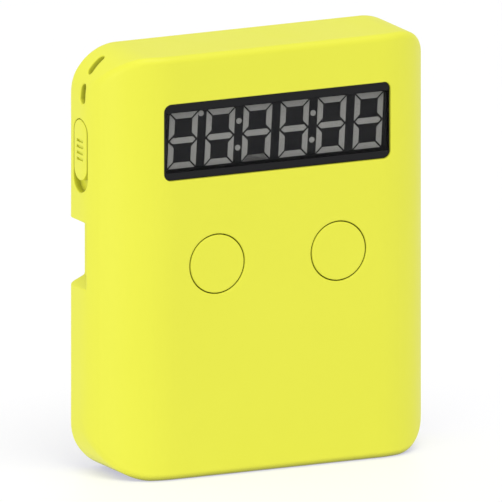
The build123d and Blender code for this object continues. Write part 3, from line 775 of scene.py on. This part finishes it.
@dataclass
class Display:
    """Window, display cell and the frame that holds it."""

    window: SmokedWindow = SmokedWindow("smoked_window")
    glass: GlassSheet = GlassSheet("display_cell_glass")
    dark: InkedLayer = InkedLayer("display_dark_film", (0.006, 0.006, 0.007), (0.009, 0.009, 0.010), 0.35)
    ink: InkedLayer = InkedLayer("display_segment_ink", (0.70, 0.70, 0.66), (0.645, 0.645, 0.605), 0.55)
    seal: InkedLayer = InkedLayer("display_seal_resin", (0.020, 0.020, 0.020), (0.026, 0.026, 0.026))
    tape: InkedLayer = InkedLayer("lens_tape_film", (0.012, 0.012, 0.012), (0.02, 0.02, 0.02), 0.7)
    holder: MouldedPlastic = MouldedPlastic(
        "black_frame_plastic", (0.014, 0.014, 0.014), (0.018, 0.018, 0.018), (0.03, 0.03, 0.03),
        grain=Grain.FINE, roughness=0.55, edge_mm=0.10)
    strip: SoftRubber = SoftRubber("contact_strip_silicone", (0.40, 0.33, 0.22), (0.08, 0.08, 0.08), 0.25)

    def dress(self) -> None:
        """Give every display piece its finish."""
        dress(self.window, "display_lens")
        dress(self.glass, "display_front_glass")
        dress(self.ink, "display_segments")
        dress(self.dark, "display_rear_glass", "display_rear_film")
        dress(self.seal, "display_seal")
        dress(self.tape, "lens_tape")
        dress(self.holder, "display_frame")
        dress(self.strip, "contact_strip")


@dataclass
class Electronics:
    """Board, its components, the buzzer, and the solder on the switch legs."""

    solder_radius: float = 0.55 * MM
    solder_spread: float = 1.25
    solder_flat: float = 0.45
    solder_weld: float = 0.001 * MM
    solder_sides: int = 16
    solder_rings: int = 8
    smooth_angle: float = math.radians(40)
    board: CircuitBoard = CircuitBoard("green_circuit_board")
    resin: MouldedPlastic = MouldedPlastic(
        "black_chip_resin", (0.012, 0.012, 0.012), (0.018, 0.018, 0.018), (0.04, 0.04, 0.04),
        grain=Grain.POLISHED, roughness=0.17, edge_mm=0.10)
    sleeve: MouldedPlastic = MouldedPlastic(
        "capacitor_sleeve", (0.020, 0.028, 0.075), (0.024, 0.033, 0.085), (0.10, 0.11, 0.18),
        grain=Grain.POLISHED, roughness=0.25, edge_mm=0.10)
    chip: MouldedPlastic = MouldedPlastic(
        "chip_resistor_body", (0.030, 0.030, 0.034), (0.04, 0.04, 0.045), (0.30, 0.30, 0.30),
        grain=Grain.FINE, roughness=0.35, edge_mm=0.12)
    wafer: MouldedPlastic = MouldedPlastic(
        "buzzer_wafer", (0.66, 0.63, 0.55), (0.60, 0.57, 0.50), (0.74, 0.71, 0.64),
        grain=Grain.FINE, roughness=0.30, edge_mm=0.10)
    can: PlatedMetal = PlatedMetal(
        "crystal_can_metal", (0.72, 0.71, 0.68), (0.60, 0.59, 0.56), brushed=(14.0, 1.0, 1.0))
    brass: PlatedMetal = PlatedMetal("buzzer_brass", (0.78, 0.56, 0.23), (0.56, 0.38, 0.15))
    solder: PlatedMetal = PlatedMetal(
        "solder_tin", (0.70, 0.70, 0.69), (0.55, 0.55, 0.54), brushed=(1.0, 1.0, 1.0), roughness=0.15)
    wire: PlatedMetal = PlatedMetal("spring_wire", (0.66, 0.65, 0.62), (0.48, 0.47, 0.45))

    def leg_columns(self, low: float) -> list[float]:
        """Places along X where a switch leg meets the board.

        Args:
            low: Lowest X of all legs.

        Returns:
            The four places: two legs of the left switch, then two of the right switch.
        """
        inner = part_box("left_plunger")
        middle = (inner[0][0] + inner[1][0]) / 2
        reach = middle - low - self.solder_radius / 2
        return [middle - reach, middle + reach, -middle - reach, -middle + reach]

    def build_fillet(self) -> bpy.types.Object:
        """Model one solder fillet: a flattened ball with its rear half cut off.

        Returns:
            The fillet, standing at the origin.
        """
        start_clean()
        bpy.ops.mesh.primitive_uv_sphere_add(
            segments=self.solder_sides, ring_count=self.solder_rings, radius=self.solder_radius)
        fillet = bpy.context.object
        bpy.ops.object.mode_set(mode="EDIT")
        bpy.ops.mesh.select_all(action="SELECT")
        bpy.ops.transform.resize(value=(self.solder_spread, self.solder_flat, 1.0))
        bpy.ops.mesh.select_all(action="SELECT")
        bpy.ops.mesh.bisect(
            plane_co=(0, 0, 0), plane_no=(0, 1, 0), use_fill=True, clear_outer=True,
            threshold=self.solder_weld)
        bpy.ops.object.mode_set(mode="OBJECT")
        bpy.ops.object.shade_smooth_by_angle(angle=self.smooth_angle)
        return fillet

    def build_solder(self) -> bpy.types.Object:
        """Copy one solder fillet to every leg of the push switches.

        Returns:
            All fillets as one object.
        """
        low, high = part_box("push_switch_pins")
        board_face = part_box("main_board")[0][1]
        first = self.build_fillet()
        copies = []
        for x in self.leg_columns(low[0]):
            for z in (low[2] + self.solder_radius, high[2] - self.solder_radius):
                copy = first.copy()
                copy.data = first.data.copy()
                bpy.context.scene.collection.objects.link(copy)
                copy.location = (x, board_face, z)
                copies.append(copy)
        bpy.data.objects.remove(first)
        start_clean()
        for copy in copies:
            copy.select_set(True)
        bpy.context.view_layer.objects.active = copies[0]
        bpy.ops.object.join()
        return bpy.context.object

    def dress(self) -> None:
        """Give every electronic piece its finish, and add the solder."""
        dress(self.board, "main_board")
        dress(SCREW_STEEL, "board_screws")
        dress(self.resin, "controller_dome")
        dress(self.sleeve, "capacitor")
        dress(self.chip, "chip_resistors")
        dress(self.can, "crystal_can")
        dress(self.brass, "buzzer_disc")
        dress(self.wafer, "buzzer_ceramic")
        dress(self.wire, "buzzer_springs", "cell_springs")
        settle(self.build_solder(), "switch_solder", "case", self.solder)


@dataclass
class Power:
    """Cells, their contacts and the lead to the board."""

    nickel: PlatedMetal = PlatedMetal("contact_nickel", (0.72, 0.70, 0.66), (0.56, 0.54, 0.50))
    lead: SoftRubber = SoftRubber(
        "black_lead_sleeve", (0.020, 0.020, 0.020), (0.012, 0.012, 0.012), pit_mm=0.4, roughness=0.55)

    def dress(self) -> None:
        """Give every power piece its finish."""
        low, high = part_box("upper_cell")
        dress(PrintedCell("printed_cell_jacket", (high[0] - low[0]) / 2 / MM), "upper_cell", "lower_cell")
        dress(self.nickel, "plus_contact", "minus_contact", "link_contact")
        dress(self.lead, "minus_lead")


# ------------------------------------------------------------------ studio
@dataclass
class Studio:
    """Pale floor, soft light and the camera."""

    azimuth: float = -26.09
    elevation: float = 12.61
    view_width: float = 92.17 * MM
    aim_right: float = -1.056 * MM
    aim_up: float = -0.457 * MM
    camera_away: float = 0.6
    nearest: float = 0.01
    farthest: float = 20.0
    floor_half: float = 3.0
    sky: float = 0.70
    side_place: Triple = (-0.60, -0.10, 0.06)
    side_size: float = 0.3
    side_power: float = 0.85
    sun_towards: Triple = (-0.02, -0.15, 0.38)
    sun_power: float = 1.25
    sun_spread: float = 40.0

    def directions(self) -> tuple[Vector, Vector, Vector]:
        """Directions that belong to the view.

        Returns:
            Unit vectors from the object to the camera, to the right of the view and up.
        """
        turn, rise = math.radians(self.azimuth), math.radians(self.elevation)
        away = Vector((math.sin(turn) * math.cos(rise), -math.cos(turn) * math.cos(rise), math.sin(rise)))
        right = Vector((math.cos(turn), math.sin(turn), 0.0))
        return away, right, away.cross(right)

    def hang(self, name: str, data: bpy.types.ID, place: Vector, facing: Vector) -> bpy.types.Object:
        """Put a lamp or camera into the scene.

        Args:
            name: Name of the object.
            data: Its lamp or camera data.
            place: Where it hangs, in metres.
            facing: Direction from what it looks at back to it.

        Returns:
            The new object.
        """
        item = bpy.data.objects.new(name, data)
        bpy.context.scene.collection.objects.link(item)
        item.location = place
        item.rotation_euler = facing.to_track_quat("Z", "Y").to_euler()
        return item

    def build_camera(self) -> None:
        """Place the parallel-view camera and make it the scene's own."""
        away, right, up = self.directions()
        target = (CAD_BOX[0] + CAD_BOX[1]) / 2 + right * self.aim_right + up * self.aim_up
        data = bpy.data.cameras.new("studio_camera")
        data.type = "ORTHO"
        data.ortho_scale = self.view_width
        data.clip_start, data.clip_end = self.nearest, self.farthest
        place = target + away * self.camera_away
        bpy.context.scene.camera = self.hang("studio_camera", data, place, away)

    def build_floor(self) -> None:
        """Lay the flat floor, wide enough to fill the view."""
        start_clean()
        bpy.ops.mesh.primitive_plane_add(size=2 * self.floor_half, location=(0, 0, 0))
        floor = bpy.context.object
        floor.name = "studio_floor"
        floor.data.materials.append(StudioFloor().material())

    def build_side_light(self) -> None:
        """Hang the low soft light that faces the object from the left."""
        data = bpy.data.lights.new("side_light", "AREA")
        data.shape = "SQUARE"
        data.size = self.side_size
        data.energy = self.side_power
        place = Vector(self.side_place)
        self.hang("side_light", data, place, place - (CAD_BOX[0] + CAD_BOX[1]) / 2)

    def build_sun(self) -> None:
        """Add the broad overhead light."""
        data = bpy.data.lights.new("overhead_light", "SUN")
        data.energy = self.sun_power
        data.angle = math.radians(self.sun_spread)
        self.hang("overhead_light", data, Vector(), Vector(self.sun_towards))

    def build_sky(self) -> None:
        """Light the scene evenly from all round, without any tone curve."""
        world = bpy.data.worlds.new("studio_sky")
        world.use_nodes = True
        sky = world.node_tree.nodes["Background"]
        sky.inputs["Color"].default_value = (1.0, 1.0, 1.0, 1.0)
        sky.inputs["Strength"].default_value = self.sky
        bpy.context.scene.world = world
        bpy.context.scene.view_settings.view_transform = "Standard"

    def build(self) -> None:
        """Build the whole studio."""
        self.build_camera()
        self.build_floor()
        self.build_sky()
        self.build_side_light()
        self.build_sun()


def main() -> None:
    """Build and dress the whole timer in its studio."""
    logging.basicConfig(level=logging.INFO, format="%(name)s: %(message)s")
    Studio().build()
    for part in (Casing(), Controls(), Display(), Electronics(), Power()):
        part.dress()


if __name__ == "__main__":
    main()
